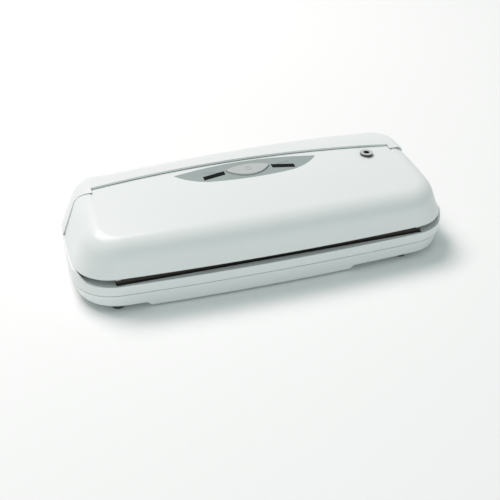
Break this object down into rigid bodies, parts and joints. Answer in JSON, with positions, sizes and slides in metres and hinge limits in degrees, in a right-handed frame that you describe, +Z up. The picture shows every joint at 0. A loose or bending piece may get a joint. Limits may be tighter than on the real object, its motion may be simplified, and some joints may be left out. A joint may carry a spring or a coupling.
{
  "type": "vacuum sealer",
  "caption": "Low, wide bag vacuum sealer with a hinged lid over a suction trough and heating bar, a lens-shaped control panel with a start button, a hose port and a fixed rear cover.",
  "frame": {"origin": "on the table, under the middle of the bounding box", "axes": "+X along the length to the right as the user sees it, +Y from the bag mouth to the rear cover, +Z up"},
  "size_m": [0.384, 0.146, 0.0841],
  "materials": {
    "white_casing": "glossy pearl white moulding",
    "black_plastic": "fine matt moulding",
    "pale_plastic": "plain moulding",
    "panel_grey": "satin",
    "button_silver": "silver-grey satin",
    "window_black": "smoked and polished",
    "dark_rubber": "matt",
    "pale_silicone": "translucent silicone",
    "foam": "closed-cell foam",
    "tape_cloth": "dark coated glass cloth",
    "steel": "zinc plated",
    "core_iron": "laminated",
    "copper": "enamelled wire",
    "board": "coated board"
  },
  "bodies": {
    "base": {"bottom_tray": "white_casing", "rubber_feet": "dark_rubber", "deck_frame": "white_casing", "bag_stops": "panel_grey", "rear_cover": "white_casing", "casing_screws": "steel", "bay_cover": "white_casing", "bay_screws": "steel", "cord_gland": "dark_rubber", "transformer_core": "core_iron", "transformer_winding": "copper", "power_board": "board", "power_board_screws": "steel", "capacitors": "black_plastic", "relay": "black_plastic", "terminal_block": "pale_plastic", "pump_motor": "steel", "pump_bracket": "steel", "pump_housing": "black_plastic", "pump_diaphragm": "dark_rubber", "pump_cap": "black_plastic", "suction_hose": "pale_silicone", "drip_tray": "black_plastic", "lower_gasket": "foam", "heater_bar": "black_plastic", "heating_ribbon": "steel", "heater_tape": "tape_cloth", "heater_clamps": "steel", "lid_switch_left": "black_plastic", "lid_switch_right": "black_plastic", "hinge_pin_left": "steel", "hinge_pin_right": "steel"},
    "lid": {"lid_shell": "white_casing", "lid_liner": "black_plastic", "lid_screws": "steel", "upper_gasket": "foam", "press_strip": "dark_rubber", "control_panel": "panel_grey", "control_board": "board", "control_board_screws": "steel", "lamp_blocks": "pale_plastic", "tact_switch": "black_plastic", "hose_port": "button_silver", "port_hose": "pale_silicone", "left_window": "window_black", "right_window": "window_black"},
    "button": {"start_button": "button_silver"},
    "left_plunger": {"plunger_left": "pale_plastic"},
    "right_plunger": {"plunger_right": "pale_plastic"},
    "shaft": {"pump_shaft": "steel"}
  },
  "joints": [
    {"name": "lid_hinge", "type": "hinge", "parent": "base", "child": "lid", "pos_m": [0, 0.018, 0.07], "axis": [-1, 0, 0], "range_deg": [0, 60]},
    {"name": "start_button_press", "type": "slide", "parent": "lid", "child": "button", "axis": [0, 0, -1], "range_m": [0, 0.001], "stiffness_N_per_m": 1500, "springref_m": -0.0003},
    {"name": "left_plunger_press", "type": "slide", "parent": "base", "child": "left_plunger", "axis": [0, 0, -1], "range_m": [0, 0.0015], "stiffness_N_per_m": 800, "springref_m": -0.0004},
    {"name": "right_plunger_press", "type": "slide", "parent": "base", "child": "right_plunger", "axis": [0, 0, -1], "range_m": [0, 0.0015], "stiffness_N_per_m": 800, "springref_m": -0.0004},
    {"name": "pump_spin", "type": "hinge", "parent": "base", "child": "shaft", "pos_m": [0.059, 0.042, 0.024], "axis": [1, 0, 0], "continuous": true}
  ]
}
